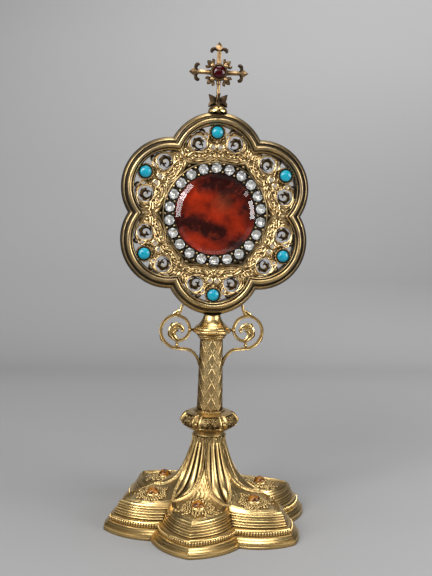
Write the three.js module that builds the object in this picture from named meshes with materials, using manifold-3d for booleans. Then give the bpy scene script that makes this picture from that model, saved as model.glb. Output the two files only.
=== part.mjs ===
// A reliquary monstrance: a hexafoil head with a domed crystal, on a stem, a knot and a lobed foot.
// Millimetres, +Z up, the head faces -Y. The origin is the centre of the foot's underside.
import * as THREE from 'three';
import { mergeVertices } from 'three/addons/utils/BufferGeometryUtils.js';
import Module from 'manifold-3d';

const wasm = await Module();
wasm.setup();

// Driving dimensions
const lobes = 6;
const seat = 0.3; // clearance left between a piece and what it rests in
const facets = { stone: 8, boss: 8, paste: 6, glass: 20, collar: 16, socket: 12, shaft: 6, room: 40 };
const headHeight = 208.3; // centre of the head above the table
const footTurn = THREE.MathUtils.degToRad(-14.7); // the foot has turned on its rod against the head
const knotTurn = THREE.MathUtils.degToRad(-4);

const foot = {
  tipRadius: 72.8, notchRadius: 56.9, bulge: 4.2, // pointed lobes in plan
  notchInset: 1.57, // how much further in a moulding runs at the notches than at the tips
  columns: 48,
  neckRadius: 10.3, neckHeight: 59, panelHeight: 19.4, flare: 8.8, // trumpet curve
  reedOut: 0.5, reedIn: 0.35, reedShare: 0.35, // reeds round the neck, and how far out they run
  panelDrop: 0.8, panelTipRadius: 16.5, panelSpread: 1.3, ribHalf: 0.5,
  // mouldings, as [inset from the edge, height]
  mouldings: [
    [0, 0], [0, 4.1], [2.4, 5.0], [4.0, 7.4], [4.7, 8.9], [7.5, 9.5], [8.9, 14.2], [10.8, 16.6], [11.3, 18.6],
  ],
  panelInset: 12.5,
  // share of the way from the neck out to the panel's edge
  rise: [0.82, 0.6, 0.4, 0.24, 0.11, 0],
  rimInset: 2.6, shelfInset: 12.2, shelfHeight: 15.6, bellInset: 15, bellHeight: 17.4,
  throatRadius: 24, throatHeight: 22, boreRadius: 9, boreHeight: 42,
};
const citrine = {
  radius: 4.0, height: 3.6, out: 39.3, bezelRadius: 4.8, bezelHeight: 3.0, sunk: 0.6, floor: 1.0,
};

const knot = { boss: 3.2, bossOut: 19.7, bossDepth: 2.6, bossHeight: 69, grooveShare: 0.88, groove: 0.4 };
const knotAcross = [-30, -20, 0, 20]; // degrees across one panel, starting in the groove before it
const knotProfile = [
  [10.8, 59], [11.2, 60.4], [13.4, 62.6], [16.8, 65.4], [18.6, 68.2], [18.2, 70.4], [15.6, 73.2], [9.8, 75.6],
];
const stem = { bottom: 75.6, top: 125, bottomRadius: 8.7, topRadius: 7.5, around: 12, rings: 8 };
const collarProfile = [
  [7.7, 125], [9.5, 125.5], [9.6, 127.6], [10.7, 129], [11.2, 130.6], [10.8, 132.2],
  [9.2, 133], [7.0, 136], [5.5, 139], [5.1, 140.8], [6.0, 143.2], [6.0, 146],
];

const frame = {
  lobeOut: 34.5, outer: 32.7, segments: 7, // lobe circles: distance of their centres, radius
  // closed section, as [radius in the lobe, depth], the front being negative
  section: [
    [32.7, 6], [32.7, -1.6], [31.8, -3.6], [30.4, -2.8], [29.6, -5.2], [28.2, -6.4], [26.9, -4.6],
    [25.2, -4.4], [25, 1.6], [23.9, 1.6], [23.9, 6],
  ],
};
const openwork = {
  edge: 24.7, front: -0.9, back: 1.2, bore: 35.2,
  scrollAside: 12.4, scrollOut: 46.4, scrollHole: 5.2, scrollHeart: 2.7, // two scrolls in each lobe
  scrollSpan: [2.7, 7.6], heartSpan: [7.4, 2.9], scrollSteps: 4, // radians
  corner: [[6.1, 57.9], [6.4, 54.6], [8.2, 53.6], [11.6, 53.8], [14.2, 53.0], [10.5, 55.9]], // [aside, out]
  bezelOut: 53.8, bezelRadius: 5.2, bezelFront: -3.0, pocket: 4.5, pocketFloor: -1.6,
};
const turquoise = { radius: 4.2, height: 3.3 };
const lunette = {
  segments: 24,
  // closed section, as [radius, depth]
  section: [[34.9, 6.5], [34.9, -3.2], [34.3, -3.2], [34.3, -1.4], [27.5, -1.4], [27.0, -2.6], [27.0, 6.5]],
};
const paste = { count: 22, radius: 3.55, out: 30.7, bottom: -1.7, girdle: -4.0, table: -5.2 };
const glassProfile = [[14, -3.3], [22.3, -2.2], [26.6, 0.3], [26.6, 1.3]];
const glassCrown = -3.8;
const silk = { radius: 26.6, front: 1.6, back: 3.4 };
const backCover = [[34.9, 6.8], [34.9, 8.0], [30, 9.2]];

// The right bracket. Its bars run through these points, as [distance from the axis, height, half width]
const bracket = {
  wire: 0.8, depth: 1.1,
  volute: [
    [6.6, 105.4], [10.0, 112.3], [15.0, 116.7], [24.2, 118.0], [32.0, 123.0], [34.3, 130.0], [31.8, 136.6],
    [24.6, 140.2], [17.4, 137.2], [15.0, 130.5], [17.8, 124.8], [22.4, 122.8],
  ],
  leaf: [[21.6, 122.9, 0.9], [26.2, 126.6, 1.7], [26.4, 131.4, 1.9], [22.6, 133.2, 1.3], [19.4, 129.8, 0.3]],
  sprig: [[19.8, 148.8], [21.4, 143.8], [23.4, 140.2]],
  calyx: [[21.2, 144.4, 0.9], [23.8, 142.4, 1.1], [28.8, 139.6, 0.4]],
  link: [[23.4, 122.9], [23.2, 118.2]],
  lug: [[15.4, 130.8, 1.2], [10.4, 130.8, 0.5]],
};

const cross = {
  height: 301.4, footHeight: 279.9, reach: 18.6, thick: 1.1, shaft: 1.2,
  armHalf: [[1.5, 5.2], [3.0, 5.8], [5.2, 6.0], [5.4, 4.6], [3.3, 3.6]], // [half width, back from the tip]
  trefoilHalf: [[0.8, 4], [1.0, 6.6], [2.6, 6.4], [2.7, 7.8], [1.2, 8.4]],
  trefoilTip: 10.2,
  boss: 5.4, bossFront: -2.6, bossBack: 1.7, pocketFloor: -1.2, garnet: 4.2, garnetHeight: 3,
  // the right leaves of the calyx, as [aside, height]
  risingLeaf: [
    [-0.4, 280.2], [1.6, 280.2], [3.0, 281.8], [6.4, 286.6], [4.2, 285.8], [0.8, 283.2], [-0.4, 283],
  ],
  lyingLeaf: [[-0.4, 282.6], [1.8, 282.4], [6.3, 280.3], [5.0, 279.9], [1.8, 280.4], [-0.4, 280.4]],
};
const socketProfile = [[6.2, 272], [6.2, 276.4], [5.0, 278.3], [2.8, 279.3], [1.5, 279.7]];

// Finishes
const finish = (name, color, roughness, metalness, more = {}) =>
  new THREE.MeshStandardMaterial({ name, color, roughness, metalness, ...more });
const gilt = finish('gilt brass', 0xc9a45c, 0.28, 1);
const darkGilt = finish('dark gilt', 0x8a7448, 0.34, 1);
const turquoiseStone = finish('turquoise', 0x2cb4d6, 0.22, 0);
const pasteStone = finish('paste', 0xdfe3e4, 0.05, 0.1);
const amberStone = finish('citrine', 0xd88a1c, 0.1, 0);
const redStone = finish('garnet', 0x4a0816, 0.1, 0);
const crystal = finish('crystal', 0xffffff, 0.03, 0, { transparent: true, opacity: 0.25 });
const redSilk = finish('red silk', 0x7a1808, 0.5, 0);

// Basic shapes

const polar = (radius, angle) => [radius * Math.cos(angle), radius * Math.sin(angle)];

/** A closed geometry from points and triangles, turned so that its faces point out. */
function closedGeometry(points, triangles) {
  let volume = 0;
  for (const [a, b, c] of triangles) {
    volume += points[a].dot(new THREE.Vector3().crossVectors(points[b], points[c]));
  }
  const faces = volume < 0 ? triangles.map(([a, b, c]) => [a, c, b]) : triangles;
  const geometry = new THREE.BufferGeometry().setFromPoints(points);
  geometry.setIndex(faces.flat());
  return geometry;
}

/** Skins rings of points. A ring of one point is a pole, and `loop` joins the last ring to the first. */
function skin(rings, loop = false) {
  const starts = [];
  rings.reduce((sum, ring) => {
    starts.push(sum);
    return sum + ring.length;
  }, 0);
  const vertex = (ring, place) => starts[ring] + (rings[ring].length > 1 ? place : 0);
  const triangles = [];
  const bands = loop ? rings.length : rings.length - 1;
  for (let i = 0; i < bands; i++) {
    const next = (i + 1) % rings.length;
    const count = Math.max(rings[i].length, rings[next].length);
    for (let j = 0; j < count; j++) {
      const k = (j + 1) % count;
      if (rings[i].length > 1) triangles.push([vertex(i, j), vertex(i, k), vertex(next, k)]);
      if (rings[next].length > 1) triangles.push([vertex(i, j), vertex(next, k), vertex(next, j)]);
    }
  }
  return closedGeometry(rings.flat(), triangles);
}

const centreOf = (ring) =>
  ring.reduce((sum, point) => sum.add(point), new THREE.Vector3()).divideScalar(ring.length);

/** A solid of revolution about +Z with flat ends, from [radius, height] pairs. */
function turned(profile, segments, twist = 0) {
  const rings = profile.map(([radius, height], i) =>
    Array.from({ length: segments }, (_, j) => {
      const [x, y] = polar(radius, ((j + i * twist) / segments) * 2 * Math.PI);
      return new THREE.Vector3(x, y, height);
    }),
  );
  return skin([[centreOf(rings[0])], ...rings, [centreOf(rings.at(-1))]]);
}

/** A solid of revolution about the head's axis, from [radius, depth] pairs, with the depth of its crown. */
function dish(profile, segments, crown = profile[0][1]) {
  const rings = profile.map(([radius, depth]) =>
    Array.from({ length: segments }, (_, j) => {
      const [x, z] = polar(radius, (j / segments) * 2 * Math.PI);
      return new THREE.Vector3(x, depth, z);
    }),
  );
  return skin([[new THREE.Vector3(0, crown, 0)], ...rings, [new THREE.Vector3(0, profile.at(-1)[1], 0)]]);
}

/** A plate standing in the XZ plane between two depths, from a THREE.Shape. */
function plate(shape, front, back) {
  const geometry = new THREE.ExtrudeGeometry(shape, { depth: back - front, bevelEnabled: false });
  geometry.rotateX(Math.PI / 2);
  return geometry.translate(0, back, 0);
}

/** A flat bar standing in the XZ plane, along points that give x, z and the half width there. */
function strip(path, depth) {
  const rings = path.map(({ x, y: z, z: half }, i) => {
    const before = path[Math.max(i - 1, 0)];
    const after = path[Math.min(i + 1, path.length - 1)];
    const along = new THREE.Vector2(after.x - before.x, after.y - before.y).normalize();
    const across = [[1, -1], [1, 1], [-1, 1], [-1, -1]];
    return across.map(([side, front]) =>
      new THREE.Vector3(x - along.y * half * side, depth * front, z + along.x * half * side));
  });
  return skin([[centreOf(rings[0])], ...rings, [centreOf(rings.at(-1))]]);
}

function solid(geometry) {
  const bare = new THREE.BufferGeometry();
  bare.setAttribute('position', geometry.getAttribute('position'));
  if (geometry.index) bare.setIndex(geometry.index);
  const merged = mergeVertices(bare, 1e-4);
  return new wasm.Manifold(new wasm.Mesh({
    numProp: 3,
    vertProperties: Float32Array.from(merged.getAttribute('position').array),
    triVerts: Uint32Array.from(merged.index.array),
  }));
}

function geometryOf(manifold) {
  const mesh = manifold.getMesh();
  const geometry = new THREE.BufferGeometry();
  geometry.setAttribute('position', new THREE.BufferAttribute(Float32Array.from(mesh.vertProperties), 3));
  geometry.setIndex(Array.from(mesh.triVerts));
  return geometry;
}

const fused = (geometries) => geometries.map(solid).reduce((sum, part) => sum.add(part));

/** A domed stone on its back at the origin, its dome towards +Z. */
function cabochon(radius, height) {
  return turned([[radius, 0], [radius * 0.92, height * 0.5], [radius * 0.45, height]], facets.stone);
}

// The foot

/** Distance from the centre to the outline, or to a moulding inset from it, at an angle off a lobe. */
function footOutline(angle, inset) {
  const tip = new THREE.Vector2(0, foot.tipRadius - inset);
  const notch = new THREE.Vector2(...polar(foot.notchRadius - inset * foot.notchInset, Math.PI / 3));
  const chord = notch.clone().sub(tip);
  const half = chord.length() / 2;
  const arcRadius = (half * half) / (2 * foot.bulge) + foot.bulge / 2;
  const outward = new THREE.Vector2(-chord.y, chord.x).normalize();
  const centre = tip.clone().add(notch).multiplyScalar(0.5).addScaledVector(outward, foot.bulge - arcRadius);
  const ray = new THREE.Vector2(Math.sin(Math.abs(angle)), Math.cos(angle));
  const along = centre.dot(ray);
  return along + Math.sqrt(arcRadius ** 2 - centre.lengthSq() + along * along);
}

const trumpet = (radius) =>
  foot.panelHeight + (foot.neckHeight - foot.panelHeight) * Math.exp((foot.neckRadius - radius) / foot.flare);

const citrineFloor = trumpet(citrine.out) - foot.panelDrop + citrine.floor;

/** Half width of a lobe's top panel at a radius: a point up on the neck, the whole lobe at the notches. */
function panelHalfWidth(radius) {
  const innerNotch = footOutline(Math.PI / 6, foot.panelInset);
  const share = (radius - foot.panelTipRadius) / (innerNotch - foot.panelTipRadius);
  return share <= 0 ? 0 : (innerNotch / 2) * share ** foot.panelSpread;
}

function footSolid() {
  const perLobe = foot.columns / lobes;
  const turn = (2 * Math.PI) / foot.columns;
  const columns = Array.from({ length: foot.columns }, (_, j) => ({
    heading: footTurn + j * turn,
    angle: (((j + perLobe / 2) % perLobe) - perLobe / 2) * turn,
    reed: j % 2,
  }));
  const at = (heading, radius, height) =>
    new THREE.Vector3(radius * Math.sin(heading), -radius * Math.cos(heading), height);
  const inset = (amount, height) =>
    columns.map(({ heading, angle }) => at(heading, footOutline(angle, amount), height));
  const round = (radius, height) => columns.map(({ heading }) => at(heading, radius, height));

  const top = foot.rise.map((share) => columns.map(({ heading, angle, reed }) => {
    const edge = footOutline(angle, foot.panelInset);
    const radius = foot.neckRadius + (edge - foot.neckRadius) * share;
    const inPanel = radius * Math.sin(Math.abs(angle)) < panelHalfWidth(radius) - foot.ribHalf;
    const height = trumpet(radius) - (inPanel ? foot.panelDrop : 0);
    const reeded = share > 0 && share < foot.reedShare && !inPanel;
    const relief = reed ? foot.reedOut : -foot.reedIn;
    return at(heading, radius + (reeded ? relief : 0), height);
  }));
  const panelEdge = columns.map(({ heading, angle }) => {
    const radius = footOutline(angle, foot.panelInset);
    return at(heading, radius, trumpet(radius));
  });
  const inside = [
    inset(foot.rimInset, 0), inset(foot.shelfInset, foot.shelfHeight), inset(foot.bellInset, foot.bellHeight),
    round(foot.throatRadius, foot.throatHeight), round(foot.boreRadius, foot.boreHeight),
  ];
  const shell = skin([
    [at(0, 0, foot.boreHeight)], ...inside.reverse(),
    ...foot.mouldings.map(([amount, height]) => inset(amount, height)),
    panelEdge, ...top, [at(0, 0, foot.neckHeight)],
  ]);

  const bezels = eachLobe((k) => {
    const { bezelRadius, sunk, bezelHeight, out } = citrine;
    const rim = turned([[bezelRadius, -sunk], [bezelRadius, bezelHeight]], facets.stone);
    return rim.translate(...footPlace(k, out, trumpet(out) - foot.panelDrop));
  });
  const pockets = eachLobe((k) => {
    const radius = citrine.radius + seat;
    const pocket = turned([[radius, 0], [radius, 2 * citrine.bezelHeight]], facets.stone);
    return pocket.translate(...footPlace(k, citrine.out, citrineFloor));
  });
  return geometryOf(fused([shell, ...bezels]).subtract(fused(pockets)));
}

const eachLobe = (make) => Array.from({ length: lobes }, (_, k) => make(k));

function footPlace(lobe, radius, height) {
  const heading = footTurn + (lobe * 2 * Math.PI) / lobes;
  return [radius * Math.sin(heading), -radius * Math.cos(heading), height];
}

// The knot, stem and collar

function knotSolid() {
  const columns = eachLobe((k) => knotAcross.map((degrees, place) => ({
    heading: knotTurn + THREE.MathUtils.degToRad(degrees) + (k * 2 * Math.PI) / lobes,
    groove: place === 0,
  }))).flat();
  const rings = knotProfile.map(([radius, height], i) => columns.map(({ heading, groove }) => {
    const isEnd = i === 0 || i === knotProfile.length - 1;
    const reach = groove && !isEnd ? radius * knot.grooveShare - knot.groove : radius;
    return new THREE.Vector3(reach * Math.sin(heading), -reach * Math.cos(heading), height);
  }));
  const body = skin([[centreOf(rings[0])], ...rings, [centreOf(rings.at(-1))]]);
  const bosses = eachLobe((k) => {
    const profile = [[knot.boss, -knot.bossDepth], [knot.boss, -0.3], [knot.boss * 0.7, 0.4]];
    const boss = turned(profile, facets.boss);
    boss.rotateX(Math.PI / 2).translate(0, -knot.bossOut, knot.bossHeight);
    return boss.rotateZ(knotTurn + (k * 2 * Math.PI) / lobes);
  });
  return geometryOf(fused([body, ...bosses]));
}

/** The column's rings turn by half a step each, so its facets form the lozenge lattice. */
function stemSolid() {
  const profile = Array.from({ length: stem.rings }, (_, i) => {
    const share = i / (stem.rings - 1);
    return [
      THREE.MathUtils.lerp(stem.bottomRadius, stem.topRadius, share),
      THREE.MathUtils.lerp(stem.bottom, stem.top, share),
    ];
  });
  return turned(profile, stem.around, 0.5);
}

/** Room for the head's lowest or highest lobe, cut out of what carries it or stands on it. */
function lobeRoom(side) {
  const radius = frame.outer + seat;
  const depth = frame.outer;
  const room = turned([[radius, -depth], [radius, depth]], facets.room);
  return solid(room.rotateX(Math.PI / 2).translate(0, 0, headHeight + side * frame.lobeOut));
}

const collarSolid = () => geometryOf(solid(turned(collarProfile, facets.collar)).subtract(lobeRoom(-1)));
const socketSolid = () => geometryOf(solid(turned(socketProfile, facets.socket)).subtract(lobeRoom(1)));

// The head

/** A point of the head's front plane, from its place in one lobe, as [x, z] from the head's centre. */
function lobePoint(lobe, aside, out) {
  const [c, s] = polar(1, Math.PI / 2 - (lobe * 2 * Math.PI) / lobes);
  return [out * c + aside * s, out * s - aside * c];
}

/** The hexafoil at a lobe radius, as points [x, z]: arcs that meet in the notches. */
function hexafoil(radius, segments) {
  const notch = frame.lobeOut * Math.cos(Math.PI / 6) + Math.sqrt(radius ** 2 - (frame.lobeOut / 2) ** 2);
  const spread = Math.atan2(notch / 2, notch * Math.cos(Math.PI / 6) - frame.lobeOut);
  return eachLobe((k) => Array.from({ length: segments }, (_, i) => {
    const angle = spread * ((2 * i) / segments - 1);
    return lobePoint(k, radius * Math.sin(angle), frame.lobeOut + radius * Math.cos(angle));
  })).flat();
}

function frameSolid() {
  const rings = frame.section.map(([radius, depth]) =>
    hexafoil(radius, frame.segments).map(([x, z]) => new THREE.Vector3(x, depth, z)));
  return skin(rings, true);
}

const shapeFrom = (points) => new THREE.Shape(points.map(([x, z]) => new THREE.Vector2(x, z)));

/** A C-shaped piercing round a scroll's heart, which stays joined at the heart's foot. */
function scrollPiercing(lobe, side) {
  const { scrollAside, scrollOut, scrollHole, scrollHeart, scrollSpan, heartSpan, scrollSteps } = openwork;
  const arc = (radius, [from, to]) => Array.from({ length: scrollSteps + 1 }, (_, i) => {
    const [a, o] = polar(radius, THREE.MathUtils.lerp(from, to, i / scrollSteps));
    return lobePoint(lobe, side * (scrollAside + a), scrollOut + o);
  });
  return shapeFrom([...arc(scrollHole, scrollSpan), ...arc(scrollHeart, heartSpan)]);
}

/** The piercing between the frame, a scroll and the turquoise's bezel. */
const cornerPiercing = (lobe, side) =>
  shapeFrom(openwork.corner.map(([a, o]) => lobePoint(lobe, side * a, o)));

function openworkSolid() {
  const { bore, front, back, edge, bezelRadius, bezelFront, bezelOut, pocket, pocketFloor } = openwork;
  const sheet = plate(shapeFrom(hexafoil(edge, frame.segments)), front, back);
  const bezels = eachLobe((k) =>
    faceFront(turned([[bezelRadius, 0], [bezelRadius, -bezelFront]], facets.stone), k, bezelOut, 0));
  const pockets = eachLobe((k) =>
    faceFront(turned([[pocket, 0], [pocket, -bezelFront]], facets.stone), k, bezelOut, pocketFloor));
  const piercings = eachLobe((k) => [-1, 1].flatMap((side) => [
    scrollPiercing(k, side), cornerPiercing(k, side),
  ])).flat().map((shape) => plate(shape, front - 1, back + 1));
  const middle = dish([[bore, front - 1], [bore, back + 1]], lunette.segments);
  return geometryOf(fused([sheet, ...bezels]).subtract(fused([middle, ...pockets, ...piercings])));
}

/** Turns a piece made along +Z to face the front, at a place in one lobe. */
function faceFront(geometry, lobe, out, depth) {
  const [x, z] = lobePoint(lobe, 0, out);
  return geometry.rotateX(Math.PI / 2).translate(x, depth, z);
}

function lunetteSolid() {
  const rings = lunette.section.map(([radius, depth]) =>
    Array.from({ length: lunette.segments }, (_, j) => {
      const [x, z] = polar(radius, (j / lunette.segments) * 2 * Math.PI);
      return new THREE.Vector3(x, depth, z);
    }));
  return skin(rings, true);
}

/** A round-cut paste stone: a small table, a crown, and a blunt pavilion behind. */
function pasteSolid(place) {
  const { radius, out, count, table, girdle, bottom } = paste;
  const [x, z] = polar(out, Math.PI / 2 - (place / count) * 2 * Math.PI);
  const cut = [[radius * 0.55, table], [radius, girdle], [radius * 0.25, bottom]];
  return dish(cut, facets.paste).translate(x, 0, z);
}

// The volute brackets

function bracketSolid(side) {
  const { wire, depth, volute, leaf, sprig, calyx, link, lug } = bracket;
  const bar = (path, pieces, deep) => {
    const points = path.map(([x, z, half = wire]) => new THREE.Vector3(side * x, z, half));
    return strip(new THREE.CatmullRomCurve3(points).getPoints(pieces), deep);
  };
  const body = fused([
    bar(volute, 24, depth), bar(leaf, 6, depth * 1.2), bar(sprig, 3, depth * 0.8),
    bar(calyx, 3, depth * 0.8), bar(link, 1, depth * 0.7), bar(lug, 1, depth * 0.7),
  ]);
  const core = [[stem.bottomRadius + seat, stem.bottom], [stem.topRadius + seat, stem.top]];
  const column = turned(core, facets.collar);
  const disc = turned(collarProfile.map(([radius, height]) => [radius + seat, height]), facets.collar);
  return geometryOf(body.subtract(fused([column, disc])).subtract(lobeRoom(-1)));
}

// The cross

/** One arm of the cross with its spear-shaped, hooked end, pointing up from the centre. */
function crossArm() {
  const { reach, thick, armHalf } = cross;
  const right = armHalf.map(([x, fromTip]) => [x, reach - fromTip]);
  return plate(mirrored([[armHalf[0][0], 0], ...right], [0, reach]), -thick, thick);
}

/** The small trefoil between two arms. */
function crossTrefoil() {
  const { thick, trefoilHalf, trefoilTip } = cross;
  return plate(mirrored(trefoilHalf, [0, trefoilTip]), -thick * 0.7, thick * 0.7);
}

/** A shape from its right half, as points going up, and its tip. */
const mirrored = (half, tip) => shapeFrom([...half, tip, ...half.map(([x, z]) => [-x, z]).reverse()]);

/** The calyx of four leaves at the shaft's foot: a pair that rises and a pair that lies over the socket. */
const crossLeaves = () => [cross.risingLeaf, cross.lyingLeaf].flatMap((leaf) => [-1, 1].map((side) =>
  plate(shapeFrom(leaf.map(([x, z]) => [x * side, z - cross.height])), -cross.thick, cross.thick)));

function crossSolid() {
  const { height, footHeight, shaft, boss, bossFront, bossBack, pocketFloor } = cross;
  const arms = [0, 1, 3].map((quarter) => crossArm().rotateY((quarter * Math.PI) / 2));
  const trefoils = [0, 1, 2, 3].map((quarter) => crossTrefoil().rotateY(((quarter + 0.5) * Math.PI) / 2));
  const rod = turned([[shaft, footHeight - height], [shaft, 0]], facets.shaft);
  const middle = dish([[boss, bossFront], [boss, bossBack]], facets.stone * 2);
  const room = cross.garnet + seat;
  const pocket = dish([[room, 2 * bossFront], [room, pocketFloor]], facets.stone);
  const body = fused([...arms, ...trefoils, ...crossLeaves(), rod, middle]).subtract(solid(pocket));
  return geometryOf(body).translate(0, 0, height);
}

// The whole object

const monstrance = new THREE.Group();
const head = new THREE.Group();
head.position.z = headHeight;
monstrance.add(head);

function add(parent, name, geometry, material) {
  geometry.computeVertexNormals();
  const mesh = new THREE.Mesh(geometry, material);
  mesh.name = name;
  parent.add(mesh);
  return mesh;
}

add(monstrance, 'foot', footSolid(), gilt);
add(monstrance, 'knot', knotSolid(), gilt);
add(monstrance, 'stem', stemSolid(), gilt);
add(monstrance, 'collar', collarSolid(), gilt);
add(monstrance, 'scroll_left', bracketSolid(-1), gilt);
add(monstrance, 'scroll_right', bracketSolid(1), gilt);
add(monstrance, 'cross_socket', socketSolid(), gilt);
add(monstrance, 'cross', crossSolid(), darkGilt);
add(head, 'frame', frameSolid(), darkGilt);
add(head, 'openwork', openworkSolid(), gilt);
add(head, 'lunette', lunetteSolid(), darkGilt);
add(head, 'glass', dish(glassProfile, facets.glass, glassCrown), crystal);
add(head, 'silk', dish([[silk.radius, silk.front], [silk.radius, silk.back]], facets.glass), redSilk);
add(head, 'back_cover', dish(backCover, lunette.segments), gilt);

const garnet = add(monstrance, 'garnet', cabochon(cross.garnet, cross.garnetHeight), redStone);
garnet.rotation.x = Math.PI / 2;
garnet.position.set(0, cross.pocketFloor - seat, cross.height);

for (let k = 0; k < lobes; k++) {
  const dome = cabochon(turquoise.radius, turquoise.height);
  const blue = faceFront(dome, k, openwork.bezelOut, openwork.pocketFloor - seat);
  add(head, `turquoise_${k + 1}`, blue, turquoiseStone);
  const amber = add(monstrance, `citrine_${k + 1}`, cabochon(citrine.radius, citrine.height), amberStone);
  amber.position.set(...footPlace(k, citrine.out, citrineFloor + seat));
}
for (let i = 0; i < paste.count; i++) {
  add(head, `paste_${String(i + 1).padStart(2, '0')}`, pasteSolid(i), pasteStone);
}

export default monstrance;
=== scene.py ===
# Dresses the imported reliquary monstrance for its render. Sizes are in millimetres until a mesh is made.
import math

import bpy
import numpy as np
from mathutils import Matrix


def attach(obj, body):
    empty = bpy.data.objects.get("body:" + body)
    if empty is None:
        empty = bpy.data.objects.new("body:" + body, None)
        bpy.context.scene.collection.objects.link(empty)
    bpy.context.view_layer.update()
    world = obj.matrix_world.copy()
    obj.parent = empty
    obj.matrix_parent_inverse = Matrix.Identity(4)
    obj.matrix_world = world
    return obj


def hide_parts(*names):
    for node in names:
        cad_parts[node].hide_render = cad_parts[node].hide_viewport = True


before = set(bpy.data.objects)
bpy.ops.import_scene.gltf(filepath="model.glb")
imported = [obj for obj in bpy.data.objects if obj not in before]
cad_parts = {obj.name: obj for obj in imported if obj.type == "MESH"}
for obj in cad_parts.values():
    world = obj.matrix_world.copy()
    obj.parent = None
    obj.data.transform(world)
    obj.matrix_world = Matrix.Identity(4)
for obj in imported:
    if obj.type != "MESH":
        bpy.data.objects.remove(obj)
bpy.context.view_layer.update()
print("frame loaded")

mm = 0.001
lobes = 6
sixth = math.pi / 3
headHeight = 208.3
# each lobe of the rim has its middle at rimOut from the head's, and rimRoom is the radius that clears it
rimOut = 34.5
rimRoom = 32.72
silkDepth = 2.2
footTurn = math.radians(-14.7)
knotTurn = math.radians(-4)


# Shaders

class Value:
    # one output of a shader tree, with arithmetic that adds Math nodes
    def __init__(self, shader, socket):
        self.shader = shader
        self.socket = socket

    def math(self, operation, *others):
        return self.shader.node("Math", {"operation": operation}, dict(enumerate([self, *others])))

    def __add__(self, other):
        return self.math("ADD", other)

    def __mul__(self, other):
        return self.math("MULTIPLY", other)

    def __sub__(self, other):
        return self.math("SUBTRACT", other)

    def __rsub__(self, other):
        return self * -1 + other

    def clamp(self):
        return self.math("MAXIMUM", 0.0).math("MINIMUM", 1.0)

    def between(self, low, high):
        # 0 below low, 1 above high, straight in between
        return ((self - low) * (1 / (high - low))).clamp()

    __radd__ = __add__
    __rmul__ = __mul__


class Shader:
    # one material and its Principled surface
    def __init__(self, name, **surface):
        self.material = bpy.data.materials.new(name)
        self.material.use_nodes = True
        self.tree = self.material.node_tree
        self.principled = self.tree.nodes["Principled BSDF"]
        self.fill(self.principled, {key.replace("_", " "): value for key, value in surface.items()})

    def fill(self, made, sockets):
        for key, value in sockets.items():
            if isinstance(value, Value):
                self.tree.links.new(value.socket, made.inputs[key])
            else:
                made.inputs[key].default_value = value

    def node(self, kind, settings, sockets, output=0):
        made = self.tree.nodes.new("ShaderNode" + kind)
        for key, value in settings.items():
            setattr(made, key, value)
        self.fill(made, sockets)
        return Value(self, made.outputs[output])

    def surface(self, **sockets):
        self.fill(self.principled, {key.replace("_", " "): value for key, value in sockets.items()})
        return self.material

    def place(self):
        return self.node("TexCoord", {}, {}, "Object")

    def noise(self, scale, detail=3.0, stretch=(1, 1, 1)):
        where = self.node("Mapping", {}, {"Vector": self.place(), "Scale": stretch})
        return self.node("TexNoise", {}, {"Vector": where, "Scale": scale, "Detail": detail})

    def near(self, spot, reach):
        # 1 at a spot [x, height from the middle of the head] in the head's face, 0 beyond the reach
        point = (spot[0] * mm, silkDepth * mm, (headHeight + spot[1]) * mm)
        away = self.node("VectorMath", {"operation": "DISTANCE"}, {0: self.place(), 1: point}, "Value")
        return (1 - away * (1 / (reach * mm))).clamp()

    def mix(self, share, first, second):
        return self.node("Mix", {"data_type": "RGBA"}, {0: share, 6: first, 7: second}, 2)

    def bump(self, height, distance, strength=1.0):
        return self.node("Bump", {}, {"Height": height, "Distance": distance, "Strength": strength})

    def hollows(self, distance):
        # 1 deep in a hollow, 0 in the open
        return 1 - self.node("AmbientOcclusion", {"samples": 6}, {"Distance": distance}, "AO")


giltLook = {
    "bright": (0.79, 0.578, 0.25, 1), "worn": (0.42, 0.25, 0.085, 1), "dark": (0.04, 0.022, 0.008, 1),
    "roughness": 0.25, "patches": 0.45, "grimeAndShade": 1.4, "reach": 0.0024,
}
looks = {
    "gilt": giltLook,
    "stemGilt": {**giltLook, "bright": (0.59, 0.44, 0.21, 1), "roughness": 0.3},
    "knotGilt": {**giltLook, "bright": (0.66, 0.48, 0.21, 1), "grimeAndShade": 1.5, "reach": 0.003,
                 "roughness": 0.24},
    "openworkGilt": {**giltLook, "bright": (0.98, 0.73, 0.37, 1), "grimeAndShade": 1.2, "reach": 0.0018,
                     "patches": 0.25},
    "rimGilt": {**giltLook, "bright": (0.72, 0.51, 0.22, 1), "worn": (0.22, 0.165, 0.105, 1),
                "dark": (0.03, 0.024, 0.018, 1), "roughness": 0.22, "patches": 0.8},
    "crossGilt": {**giltLook, "bright": (0.40, 0.265, 0.13, 1), "worn": (0.15, 0.09, 0.045, 1),
                  "dark": (0.025, 0.017, 0.012, 1), "roughness": 0.3, "patches": 1.0},
}


# noise scales of the wear, the specks and the grain, and how much each adds
wear = {"cloud": 70, "cloudSpan": (0.38, 0.66), "speck": 900, "speckWear": 0.25, "speckGrime": 0.2,
        "clean": 0.12,
        "wornRough": 0.12, "grimeRough": 0.3, "grain": 1500, "grainDepth": 0.00006, "grainShare": 0.35}


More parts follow.
